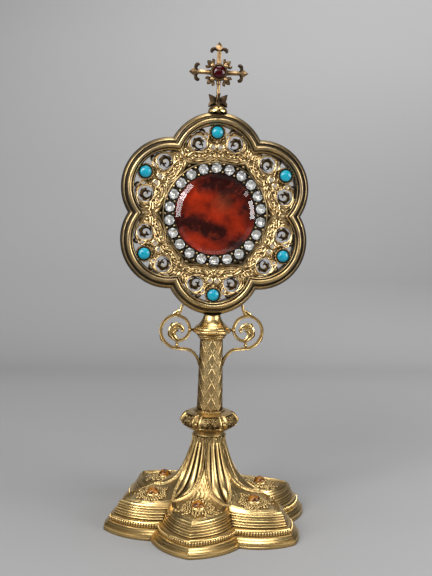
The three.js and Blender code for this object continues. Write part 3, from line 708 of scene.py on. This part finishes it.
openwork = {
    "bezelOut": 53.8, "front": -0.9, "back": 1.1, "edge": 24.95, "inner": 34.95, "hexSide": 33.4,
    # round holes, [aside, out, radius]; the gap beside the stone is past a line, clear of ring and bezel
    "holes": [(12.0, 46.4, 5.4), (2.5, 44.3, 1.9)],
    "gapLine": 51.9, "gapTilt": 0.25, "ringClear": 6.25, "bezelClear": 5.5,
    # low relief in rows round each scroll
    "lines": 1.7, "firstLine": 7.0, "height": 0.7,
    # the ring, and the leaf in it with its small lobes: reach, shrink, first turn and turns
    "scroll": (12.0, 46.4), "ring": 5.75, "thin": (5.2, 2.0, 3.6, 5.2),
    "leaf": (4.1, 3.3, -2.5, 7.4), "leafLobes": (-1.7, -0.8, 0.2, 1.2, 2.2, 3.2),
    "leafBerries": [(0.3, 0.2), (2.9, -3.4), (-3.4, 2.9)],
    "eye": (2.5, 44.3), "eyeRadius": 1.95, "eyeCurl": (1.7, 1.357, np.pi, -2.4 * np.pi),
    # wires: half width, height, depth and, for those that run free, places
    "ringWire": (0.5, 0.95, 0.45), "thinWire": (0.28, 0.6, 0.45), "eyeWire": (0.4, 0.8, 0.5),
    "eyeCurlWire": (0.3, 0.6, 0.4),
    "wires": [(0.5, 0.95, 0.45, [(2.0, 40.2), (4.0, 42.2), (6.4, 42.4), (9.0, 40.8), (12.6, 40.2)]),
              (0.5, 0.95, 0.45, [(6.6, 48.4), (5.6, 51.4), (7.0, 53.2), (9.6, 53.2), (13.6, 52.6)]),
              (0.5, 0.95, 0.45, [(17.4, 49.0), (18.8, 46.6), (18.6, 43.6), (16.6, 41.6)]),
              (0.42, 0.8, 0.5, [(21.4, 37.4), (18.6, 39.6), (15.0, 37.2), (11.4, 39.2), (7.6, 36.8),
                                (4.6, 39.6), (1.4, 37.6)]),
              (0.42, 0.8, 0.5, [(5.6, 51.3), (7.6, 52.2), (9.0, 50.8), (12.0, 53.0), (15.6, 51.6),
                                (18.8, 49.0), (20.6, 46.6)])],
    # leaves: height, depth, tone and places with their half widths
    "leaves": [(1.0, 0.5, 0.0, [(0.4, 40.6, 0.5), (2.2, 41.6, 1.2), (4.4, 41.0, 1.1), (6.2, 39.2, 0.2)]),
               (1.0, 0.5, 0.0, [(13.0, 40.0, 0.4), (15.2, 40.0, 1.3), (18.0, 38.2, 1.2),
                                (20.0, 36.2, 0.3)]),
               (1.0, 0.5, 0.0, [(8.2, 51.8, 0.3), (10.6, 53.2, 0.9), (13.4, 53.0, 0.8), (15.4, 51.4, 0.2)]),
               (1.0, 0.5, 0.0, [(1.2, 46.8, 0.4), (3.6, 47.4, 0.9), (5.2, 49.6, 0.8), (5.0, 51.6, 0.2)]),
               (0.9, 0.4, 0.6, [(8.0, 53.4, 0.3), (9.0, 54.8, 0.8), (10.8, 55.1, 0.8), (12.2, 53.8, 0.2)])],
    "berries": [(7.4, 40.9), (9.4, 38.2), (4.2, 38.6), (19.2, 41.4), (16.0, 36.6), (6.3, 46.2), (4.6, 44.2),
                (20.2, 39.0), (11.6, 38.0), (17.0, 51.6), (1.6, 38.4), (14.0, 38.2)],
    "bezel": [(4.2, 0, 0.9), (5.3, 0, 0.5), (5.3, 2.1, 0.3), (5.0, 2.5, 0.1), (4.6, 2.4, 0.9),
              (4.3, 2.9, 1), (4.0, 2.9, 1), (3.9, 1, 1)],
    "pearls": 5.15, "stone": (3.85, 3.0), "stoneDepth": -1.9,
}


def inLobe(lobe, aside, out, depth=0.0):
    # a point of the head from its place in a lobe; lobe 0 is the top one, and the rest follow clockwise
    aside, out, lobe = (np.asarray(value, float) for value in (aside, out, lobe))
    c, s = np.cos(np.pi / 2 - lobe * sixth), np.sin(np.pi / 2 - lobe * sixth)
    x = out * c + aside * s
    return np.stack([x, depth + 0 * x, headHeight + out * s - aside * c], -1)


def rimSurface():
    # the section carried round the arcs of six circles, each from notch to notch
    section = np.array(rim["section"])
    radius = section[:, :1]
    notch = rimOut * math.cos(sixth / 2) + np.sqrt(radius**2 - (rimOut / 2) ** 2)
    spread = np.arctan2(notch / 2, notch * math.cos(sixth / 2) - rimOut)
    angle = spread * np.linspace(-1, 1, rim["segments"], endpoint=False)
    lobe = np.repeat(np.arange(lobes), rim["segments"])
    angle = np.tile(angle, lobes)
    points = inLobe(lobe, radius * np.sin(angle), rimOut + radius * np.cos(angle), section[:, 1:2])
    # painted shade, darkest at the left and right
    flankShade = 0.3 + 0.8 * np.abs(points[..., 0]) / (rimOut + section[0, 0])
    return sheet(points, loop=True, tone=(flankShade * section[:, 2:] + 0.3 * (flankShade - 0.3)).clip(0, 1))


def headWire(lobe, path, half, deep, depth, section=roundSection(8), tone=0.0, loop=False):
    # a wire or leaf in front of the plate; path is [aside, out] and perhaps its own half width
    path = np.asarray(path, float)
    if path.shape[1] > 2:
        half = path[:, 2]
    points = inLobe(lobe, path[:, 0], path[:, 1], openwork["front"] - depth)
    return sweep(points, (0, -1, 0), section, half, deep, loop, tone)


def scroll(lobe, side):
    # a ring with a thin curl, and a leaf that curls into its middle with small lobes along its outside
    aside, out = openwork["scroll"]
    t = np.linspace(-2.3, 3.4, 44)
    r = openwork["ring"] * (1 + 0.05 * np.cos(t))
    ring = np.stack([side * (aside + r * np.cos(t)), out + r * np.sin(t)], 1)
    thin = spiral(side, openwork["scroll"], *openwork["thin"], 40)
    reach, shrink, start, turns = openwork["leaf"]
    curl = spiral(side, openwork["scroll"], *openwork["leaf"], 26)
    curl = np.column_stack([curl, 0.25 + 0.75 * np.sin(np.pi * np.linspace(0, 1, 26))])
    made = [headWire(lobe, thin, *openwork["thinWire"]), headWire(lobe, ring, *openwork["ringWire"]),
            headWire(lobe, curl, None, 1.0, 0.6, leafSection, 0.85)]
    for turn in openwork["leafLobes"]:
        r = reach - shrink * (turn - start) / turns
        line = [(r, turn, 0.7), (r + 1.0, turn + 0.3, 0.6), (r + 1.6, turn + 0.75, 0.12)]
        path = spline([(side * (aside + r * math.cos(a)), out + r * math.sin(a), w) for r, a, w in line], 4)
        made.append(headWire(lobe, path, None, 0.8, 0.4, leafSection, 0.8))
    front = openwork["front"] - 1.0
    places = [inLobe(lobe, side * (aside + a), out + o, front) for a, o in openwork["leafBerries"]]
    return made + [beads(places, 0.6, 0.3)]


def plateSkin(lobe, rows, columns, front):
    # one face of the pierced plate; the front has low relief in rows round each scroll, the back is flat
    angle = np.linspace(-sixth / 2, sixth / 2, columns)
    reach = rimOut * np.cos(angle) + np.sqrt(openwork["edge"] ** 2 - (rimOut * np.sin(angle)) ** 2)
    share = np.linspace(0, 1, rows)[:, None]
    radius = openwork["inner"] + (reach - openwork["inner"]) * share
    aside, out = radius * np.sin(angle), radius * np.cos(angle)
    side, apart = np.sign(aside), np.abs(aside)
    pierced = np.zeros(aside.shape, bool)
    snap = 16 / rows
    for middle, high, size in openwork["holes"]:
        far = np.hypot(apart - middle, out - high)
        pull = np.where(np.abs(far - size) < snap, size / far, 1)
        apart = middle + (apart - middle) * pull
        out = high + (out - high) * pull
        pierced |= np.hypot(apart - middle, out - high) < size - 0.01
    aside = apart * side
    middle, high = openwork["scroll"]
    away = np.hypot(apart - middle, out - high)
    turn = np.arctan2(out - high, apart - middle)
    gap = out + openwork["gapTilt"] * apart - openwork["gapLine"]
    fromStone = np.hypot(apart, out - openwork["bezelOut"])
    pierced |= (gap > 0) & (away > openwork["ringClear"]) & (fromStone > openwork["bezelClear"])
    waves = 0.35 * np.sin(3 * turn) + 0.1 * np.sin(9 * turn + away)
    lines = (away - openwork["firstLine"]) / openwork["lines"] + waves
    swell = 0.5 + 0.5 * np.cos(2 * np.pi * lines)
    hexagon = step(out, openwork["hexSide"] + 0.5, openwork["hexSide"] - 0.3)
    height = openwork["height"] * swell * (0.6 + 0.4 * np.cos(12 * turn + 2.4 * away)) * (1 - hexagon)
    depth = openwork["front"] + 0.1 - height if front else openwork["back"]
    spots = inLobe(lobe, aside, out, depth).reshape(-1, 3)
    index = np.arange(rows * columns).reshape(rows, columns)
    quads = np.stack([index[:-1, :-1], index[:-1, 1:], index[1:, 1:], index[1:, :-1]], -1).reshape(-1, 4)
    quads = quads[~pierced.reshape(-1)[quads].any(1)]
    a, b, c = (spots[quads[0, i]] for i in range(3))
    if (np.cross(b - a, c - a)[1] > 0) == front:
        quads = quads[:, ::-1]
    # painted shade: darker in the low rows of the relief and in the flat strip along the six-sided border
    return spots, quads.tolist(), (0.02 + 0.4 * (1 - swell) + 0.9 * hexagon).clip(0, 1).reshape(-1)


def lobeRelief(lobe):
    # wires, leaves and berries in front of the plate, the same on both sides, and the setting at the tip
    made = []
    for side in (-1, 1):
        made += scroll(lobe, side)
        aside, out = openwork["eye"]
        loop = roundSection(14) * openwork["eyeRadius"] + [side * aside, out]
        made.append(headWire(lobe, loop, *openwork["eyeWire"], roundSection(7), loop=True))
        curl = spiral(side, openwork["eye"], *openwork["eyeCurl"], 24)
        made.append(headWire(lobe, curl, *openwork["eyeCurlWire"]))
        for half, deep, depth, places in openwork["wires"]:
            path = spline([(side * a, o) for a, o in places], 6)
            made.append(headWire(lobe, path, half, deep, depth))
        for deep, depth, tone, places in openwork["leaves"]:
            path = spline([(side * a, o, w) for a, o, w in places], 5)
            made.append(headWire(lobe, path, None, deep, depth, leafSection, tone))
        places = [inLobe(lobe, side * a, o, openwork["front"] - 0.4) for a, o in openwork["berries"]]
        made.append(beads(places, 0.8))
    x, _, z = inLobe(lobe, 0, openwork["bezelOut"])
    bezel = np.array(openwork["bezel"])
    pearls = np.insert(roundSection(16) * openwork["pearls"], 2, 2.5, 1)
    made.append(facing(merge([turned(bezel[:, :2], 36, tone=bezel[:, 2:]), beads(pearls, 0.7)]), x, z))
    return merge(made)


putPiece("rimMoulding", [rimSurface()], "rimGilt", ["frame"], 50)
plates = [plateSkin(k, *grid) for grid in ((80, 121, True), (40, 61, False)) for k in range(lobes)]
putPiece("openworkPlate", plates, "openworkGilt", ["openwork"])
putPiece("openworkRelief", [lobeRelief(k) for k in range(lobes)], "openworkGilt")
stone = cabochon(*openwork["stone"])
places = [inLobe(k, 0, openwork["bezelOut"]) for k in range(lobes)]
turquoises = [facing(stone, x, z, openwork["stoneDepth"]) for x, _, z in places]
putPiece("turquoises", turquoises, "turquoise", [f"turquoise_{k + 1}" for k in range(lobes)])
print("rim and openwork made")


# The case with its paste stones, the crystal and the silk

case = {
    "profile": [(27.0, 6.5), (27.0, -2.4), (27.3, -2.9), (27.6, -2.6), (27.7, -1.2), (34.0, -1.2),
                (34.1, -2.8), (34.4, -3.3), (34.9, -3.0), (34.9, 6.5)],
    # the six-sided border behind the ring of stones, and a knob at each of its corners
    "border": [(1, -0.6), (1, 1), (0.6, 1.25), (-0.6, 1.25), (-1, 1), (-1, -0.6)], "corner": 38.6,
    "borderHalf": 0.6, "borderHeight": 1.2, "borderDepth": -1.4,
    "knob": [(1.3, 0), (1.3, 0.5), (0.9, 0.9), (0.3, 1.1)], "knobOut": 36.7,
    "cover": [(0.2, -9.3), (9, -9.25), (9.6, -8.9), (10.2, -9.25), (24, -9.2), (25, -8.8), (26, -9.2),
              (30, -9.1), (33.6, -8.2), (34.8, -7.9), (34.8, -6.8), (0.2, -6.8)],
}
paste = {
    "count": 22, "out": 30.7, "radius": 3.42, "depth": -3.1, "flatten": 0.9, "foilDepth": -1.3,
    # a brilliant, as [radius, height, half turns of a facet], and the foil under it
    "cut": [(0.30, -3.3, 0), (1.0, -0.25, 1), (1.0, 0.0, 0), (0.86, 0.55, 1), (0.58, 1.2, 0)],
    "foil": [(0.4, -0.02), (3.2, 1.5), (3.45, 1.7), (3.35, 1.5), (0.5, -0.3)],
    "clawRings": (28.3, 33.4), "claw": 0.75, "clawDepth": -3.0,
}
# the crystal has a low crown, then a wide bevel down to the edge
crystal = [(0.2, 5.3), (6, 5.28), (14, 5.1), (23.1, 4.5), (26.4, 2.65), (26.7, 2.1), (26.7, -1.3),
           (0.2, -1.3)]
disc = {"radius": 26.5, "fold": 0.28, "flatEdge": 5, "back": 3.4}


def ringSurface(profile, columns, tone=0.0):
    # a closed section, [radius, depth], turned about the head's axis
    profile = np.asarray(profile, float)
    turn = np.linspace(0, 2 * np.pi, columns, endpoint=False)
    radius = profile[:, :1]
    points = [radius * np.cos(turn), profile[:, 1:] + 0 * turn, headHeight + radius * np.sin(turn)]
    return sheet(np.stack(points, -1), loop=True, tone=tone)


def stoneRing(count, out, turn=0.0):
    # even places clockwise from the top
    angle = np.pi / 2 - turn - np.arange(count) * 2 * np.pi / count
    return out * np.cos(angle), headHeight + out * np.sin(angle)


def cutStone():
    # rings of eight corners, every other ring turned by half a facet
    r, h, spin = (np.array(column)[:, None] for column in zip(*paste["cut"]))
    turn = np.arange(8) * np.pi / 4 + spin * np.pi / 8
    radius = r * paste["radius"]
    height = h * paste["flatten"] + 0 * turn
    return sheet(np.stack([radius * np.cos(turn), radius * np.sin(turn), height], -1))


def hexBorder():
    # six straight runs between corners on a circle
    turn = sixth * np.arange(lobes + 1)
    ring = np.stack([np.cos(turn), 0 * turn, np.sin(turn)], 1)
    section, knob = np.array(case["border"]), turned(case["knob"], 12, tone=0.2)
    made = []
    for k in range(lobes):
        path = np.linspace(ring[k], ring[k + 1], 9) * case["corner"] + [0, case["borderDepth"], headHeight]
        made.append(sweep(path, (0, -1, 0), section, case["borderHalf"], case["borderHeight"], tone=0.15))
        x, _, z = ring[k] * case["knobOut"]
        made.append(facing(knob, x, headHeight + z, -1.0))
    return merge(made)


def silkSurface():
    # a disc with soft folds in its face
    t = np.linspace(0, 2 * np.pi, 120, endpoint=False)
    r = np.linspace(0.3, disc["radius"], 46)[:, None]
    x, z = r * np.cos(t), r * np.sin(t)
    folds = np.sin(0.32 * x + 0.9 * np.sin(0.21 * z)) + np.sin(0.4 * z + 1.1 * np.sin(0.17 * x + 1))
    inside = np.clip((disc["radius"] + 0.1 - r) / disc["flatEdge"], 0, 1)
    front = np.stack([x, silkDepth + disc["fold"] * folds * inside, z + headHeight], -1)
    back = np.stack([x[-1], 0 * t + disc["back"], z[-1] + headHeight], -1)[None]
    return sheet(np.concatenate([front, back]))


# painted shade: the tone darkens the whole case ring outside the stones
ring = ringSurface(case["profile"], 132, 0.65)
putPiece("caseRing", [ring, hexBorder()], "rimGilt", ["lunette"])
places = list(zip(*stoneRing(paste["count"], paste["out"])))
cut = [facing(cutStone(), a, b, paste["depth"]) for a, b in places]
putPiece("pasteStones", cut, "paste", [f"paste_{i + 1:02}" for i in range(paste["count"])], 5)
cups = [facing(turned(paste["foil"], 8), a, b, paste["foilDepth"]) for a, b in places]
putPiece("stoneFoils", cups, "foil", (), 5)
claws = []
for out in paste["clawRings"]:
    ring = zip(*stoneRing(paste["count"], out, np.pi / paste["count"]))
    claws.append(beads([(a, paste["clawDepth"], b) for a, b in ring], paste["claw"], 0.1))
putPiece("stoneClaws", claws, "rimGilt")
putPiece("crystalDome", [facing(turned(crystal, 120), 0, headHeight)], "crystal", ["glass"], 25)
putPiece("silkDisc", [silkSurface()], "silk", ["silk"])
putPiece("backPlate", [facing(turned(case["cover"], 120), 0, headHeight)], "gilt", ["back_cover"])
print("case made")


# The volute brackets, as [distance from the axis, height, half width]

bracket = {
    "volute": [(7.4, 106.0), (9.7, 112), (14.3, 116.7), (21, 117.8), (27.2, 118.9), (32.2, 123.2),
               (34.4, 130), (31.8, 136.6), (25, 140.4), (17.6, 137.5), (14.8, 130.7), (17.7, 125),
               (22.6, 122.8)],
    "leaves": [[(20.8, 122.8, 0.7), (23.8, 123.9, 1.5), (26.4, 126.6, 2.4), (26.4, 130.2, 2.8),
                (24.2, 132.6, 2.8), (21.4, 132.6, 1.9), (19.4, 130.4, 1.0), (20.2, 128.4, 0.2)],
               [(25.4, 125.0, 0.3), (26.0, 127.6, 1.0), (24.2, 129.8, 1.1), (22.4, 129.6, 0.3)],
               [(26.0, 124.6, 0.3), (28.6, 126.6, 0.9), (29.4, 129.4, 0.2)],
               [(25.8, 131.6, 0.4), (27.4, 133.4, 0.9), (26.6, 135.6, 0.2)],
               [(20.8, 145.0, 0.4), (22.2, 143.2, 1.2), (24.8, 141.8, 1.3), (28.6, 139.4, 0.2)],
               [(31.4, 121.6, 0.3), (33.6, 123.6, 0.9), (35.0, 126.4, 0.2)]],
    "sprig": [(20.4, 147.6), (21, 144.5), (21.9, 142.4), (23, 140.8)],
    "link": [(23.4, 122.6), (23.3, 118.0)],
    "lug": [(15.0, 130.8, 1.1), (12.6, 130.8, 1.0), (10.6, 130.8, 0.4)],
    "wire": 1.0, "deep": 1.2, "thinDeep": 0.8, "leafDeep": 1.5, "lugDeep": 0.9,
    # the bar is flat with a bead along each edge, as [across, up]
    "bar": [(1, 0.75), (0.75, 1), (0.35, 0.7), (-0.35, 0.7), (-0.75, 1), (-1, 0.75), (-1, -0.75),
            (-0.75, -1), (-0.35, -0.7), (0.35, -0.7), (0.75, -1), (1, -0.75)],
    "beads": [(23.4, 120.3), (20.0, 129.6), (14.8, 130.7)], "bead": 0.9, "beadDepth": 1.0,
}


def bracketSurface(side):
    # flat and round bars and leaves, each a section carried along a smooth course in the head's plane
    def along(path, deep, section=roundSection(10), half=bracket["wire"], steps=7):
        line = spline(path, steps)
        if line.shape[1] > 2:
            half = line[:, 2]
        points = np.stack([side * line[:, 0], 0 * line[:, 0], line[:, 1]], 1)
        return sweep(points, (0, -1, 0), section, half, deep)

    made = [along(bracket["volute"], bracket["deep"], np.array(bracket["bar"]))]
    made += [along(bracket[name], bracket["thinDeep"]) for name in ("sprig", "link")]
    leaf = np.concatenate([leafSection[:9], leafSection[1:8][::-1] * [1, -1]]) * [1, 0.6]
    made += [along(path, bracket["leafDeep"], leaf) for path in bracket["leaves"]]
    made.append(along(bracket["lug"], bracket["lugDeep"], leaf))
    for y in (-bracket["beadDepth"], bracket["beadDepth"]):
        made.append(beads([(side * x, y, z) for x, z in bracket["beads"]], bracket["bead"]))
    return merge(made)


putPiece("scrollLeft", [bracketSurface(-1)], "gilt", ["scroll_left"])
putPiece("scrollRight", [bracketSurface(1)], "gilt", ["scroll_right"])
print("brackets made")


# The cross and its socket, with the arms as [aside, away from the middle, half width]

cross = {
    "height": 301.0, "stretch": 1.05, "deep": 1.25, "hookTone": 0.85, "leafDeep": 0.9, "leafTone": 0.75,
    "hook": [(1.0, 13.6, 0.8), (2.8, 14.4, 1.0), (4.2, 14.0, 1.3), (4.8, 12.9, 1.2), (4.3, 12.0, 0.2)],
    "spear": [(0, 11.8, 1.2), (0, 13.2, 1.5), (0, 13.9, 3.2), (0, 16.2, 2.0), (0, 18.6, 0.1)],
    "arm": [(0, 3.6, 1.9), (0, 6.4, 1.6), (0, 9.4, 1.4), (0, 12.6, 1.4)],
    "fleur": [[(0, 4.4, 0.9), (0, 7.2, 1.3), (0, 8.8, 1.5), (0, 10.2, 0.2)],
              [(0.2, 6.2, 0.5), (1.7, 6.8, 1.1), (2.9, 7.6, 1.1), (3.2, 8.8, 0.2)]],
    "leaves": [[(0.3, 280.6, 1.6), (2.0, 282.0, 2.6), (4.0, 284.4, 2.0), (6.2, 287.0, 0.1)],
               [(0.3, 281.6, 1.6), (2.8, 281.2, 2.2), (4.8, 280.2, 1.7), (6.2, 278.6, 0.1)]],
    "ridged": [(1, 0.1), (0.5, 0.5), (0, 1), (-0.5, 0.5), (-1, 0.1), (-1, -0.1), (0, -1), (1, -0.1)],
    "shaft": [(1.5, 279.4), (1.9, 281.2), (1.5, 282.4), (1.15, 284), (1.1, 292), (1.5, 294), (1.6, 297)],
    "collet": [(5.5, -1.7), (5.6, 1.6), (5.2, 2.4), (4.8, 2.7), (4.5, 3.4), (4.3, 3.2), (4.3, 1.2)],
    "pearls": 5.1, "stone": (4.25, 3.2), "stoneDepth": -1.4,
    # a ball in each angle between the arms: aside and up, depth and radius
    "ballPlace": 4.3, "ballDepth": -1.2, "ball": 1.9,
}
socket = {
    "profile": [(6.0, 272), (6.2, 274), (6.4, 275.6), (6.1, 277), (5.0, 278.5), (3.4, 279.3), (1.5, 279.7)],
    "holeShadePlace": (0, -5.9, 275.3), "holeShadeRadius": 1.5,
}


def crossSurface():
    # ridged blades in three arms and between them, a turned shaft, leaves at its foot and the stone's collet
    ridged = np.array(cross["ridged"])

    def blade(path, turn, side=1, tone=0.0):
        # a blade that points away from the middle at an angle from upright
        line = spline(path, 6)
        x, z = side * line[:, 0], line[:, 1] * cross["stretch"]
        c, s = math.cos(turn), math.sin(turn)
        points = np.stack([x * c + z * s, 0 * x, cross["height"] - x * s + z * c], 1)
        return sweep(points, (0, -1, 0), ridged, line[:, 2], cross["deep"], tone=tone)

    made = []
    for turn in (0, np.pi / 2, -np.pi / 2):
        made += [blade(cross["arm"], turn), blade(cross["spear"], turn)]
        made += [blade(cross["hook"], turn, side, cross["hookTone"]) for side in (-1, 1)]
    for turn in (np.arange(4) + 0.5) * np.pi / 2:
        stalk, leaf = cross["fleur"]
        made += [blade(stalk, turn), blade(leaf, turn), blade(leaf, turn, -1)]
    made.append(turned(cross["shaft"], 16, 4))
    for leaf in cross["leaves"]:
        line = spline(leaf, 6)
        for side in (-1, 1):
            for spin in (0, np.pi / 2):
                c, s = math.cos(spin), math.sin(spin)
                points = np.stack([side * line[:, 0] * c, side * line[:, 0] * s, line[:, 1]], 1)
                up, deep = (s, -c, 0), cross["leafDeep"]
                made.append(sweep(points, up, ridged, line[:, 2], deep, tone=cross["leafTone"]))
    pearls = beads(np.insert(roundSection(20) * cross["pearls"], 2, 2.5, 1), 0.5)
    made.append(facing(merge([turned(cross["collet"], 48), pearls]), 0, cross["height"]))
    far, high = cross["ballPlace"], cross["height"]
    corners = [(far * a, cross["ballDepth"], high + far * b) for a in (-1, 1) for b in (-1, 1)]
    made.append(beads(corners, cross["ball"]))
    return merge(made)


putPiece("crossBody", [crossSurface()], "crossGilt", ["cross"])
stone = facing(cabochon(*cross["stone"]), 0, cross["height"], cross["stoneDepth"])
putPiece("garnetStone", [stone], "garnet", ["garnet"])
points, faces, tone = turned(socket["profile"], 64, 5)
points[:, 2] = np.maximum(points[:, 2], headHeight + rimOut + np.sqrt(rimRoom**2 - points[:, 0] ** 2))
# painted shade: a dark ball stands for the shadow inside a hole in the socket
holeShadeBall = beads([socket["holeShadePlace"]], socket["holeShadeRadius"], 1)
putPiece("socketDome", [(points, faces, tone), holeShadeBall], "gilt", ["cross_socket"])
print("cross made")


# The stage: floor and wall in one sweep, lights and camera

stage = {
    "floor": 900.0, "bend": 260.0, "back": 520.0, "wall": 1500.0, "sides": (-460, 640), "aim": 170,
    "air": (0.64, 0.637, 0.635, 1), "airLight": 0.07,
}
t = np.linspace(0, np.pi / 2, 24)
bend = np.stack([stage["back"] + stage["bend"] * np.sin(t), stage["bend"] * (1 - np.cos(t))], 1)
line = np.vstack([(-stage["floor"], 0), bend, (stage["back"] + stage["bend"], stage["wall"])])
spots = [(x, y, z) for y, z in line for x in stage["sides"]]
faces = [(2 * i, 2 * i + 1, 2 * i + 3, 2 * i + 2) for i in range(len(line) - 1)]
mesh = bpy.data.meshes.new("backdrop")
mesh.from_pydata((np.array(spots) * mm).tolist(), [], faces)
mesh.shade_smooth()
mesh.materials.append(paperFinish())
backdrop = bpy.data.objects.new("backdrop", mesh)
bpy.context.scene.collection.objects.link(backdrop)

lights = {
    # place, size and power; each looks at the stage's aim, on the axis
    "key": ((-520, -620, 700), (420, 420), 7.2),
    "fill": ((640, -520, 420), (360, 500), 3.6),
    "front": ((-60, -950, 760), (800, 420), 1.6),
    "top": ((60, -60, 950), (500, 400), 4.2),
    "strip": ((-700, 60, 260), (120, 700), 0.7),
    "left": ((-700, -470, 400), (170, 560), 3.5),
    "right": ((770, -290, 300), (150, 340), 2.4),
}
for name, (place, size, power) in lights.items():
    data = bpy.data.lights.new(name, "AREA")
    data.shape = "RECTANGLE"
    data.size, data.size_y = (value * mm for value in size)
    data.energy = power
    lamp = bpy.data.objects.new(name, data)
    away = np.array(place) - [0, 0, stage["aim"]]
    back = away / np.linalg.norm(away)
    right = np.cross((0, 0, 1), back)
    right /= np.linalg.norm(right)
    turn = np.stack([right, np.cross(back, right), back], 1)
    lamp.matrix_world = Matrix.Translation([value * mm for value in place]) @ Matrix(turn.tolist()).to_4x4()
    bpy.context.scene.collection.objects.link(lamp)

world = bpy.data.worlds.new("studio")
world.use_nodes = True
world.node_tree.nodes["Background"].inputs["Color"].default_value = stage["air"]
world.node_tree.nodes["Background"].inputs["Strength"].default_value = stage["airLight"]
bpy.context.scene.world = world
bpy.context.scene.view_settings.view_transform = "Standard"

view = {
    "place": (-62.53, -565.15, 215.26), "lens": 53.125, "sensor": 36.0,
    "right": (0.99345, -0.11091, 0.02753), "up": (-0.01632, 0.10076, 0.99478),
    "back": (-0.1131, -0.98871, 0.09829),
}
camera = bpy.data.objects.new("camera", bpy.data.cameras.new("camera"))
camera.data.lens = view["lens"]
camera.data.sensor_width = view["sensor"]
turn = Matrix([list(row) for row in zip(view["right"], view["up"], view["back"])])
camera.matrix_world = Matrix.Translation([value * mm for value in view["place"]]) @ turn.to_4x4()
camera.data.clip_start = 0.01
bpy.context.scene.collection.objects.link(camera)
bpy.context.scene.camera = camera
print("stage made")
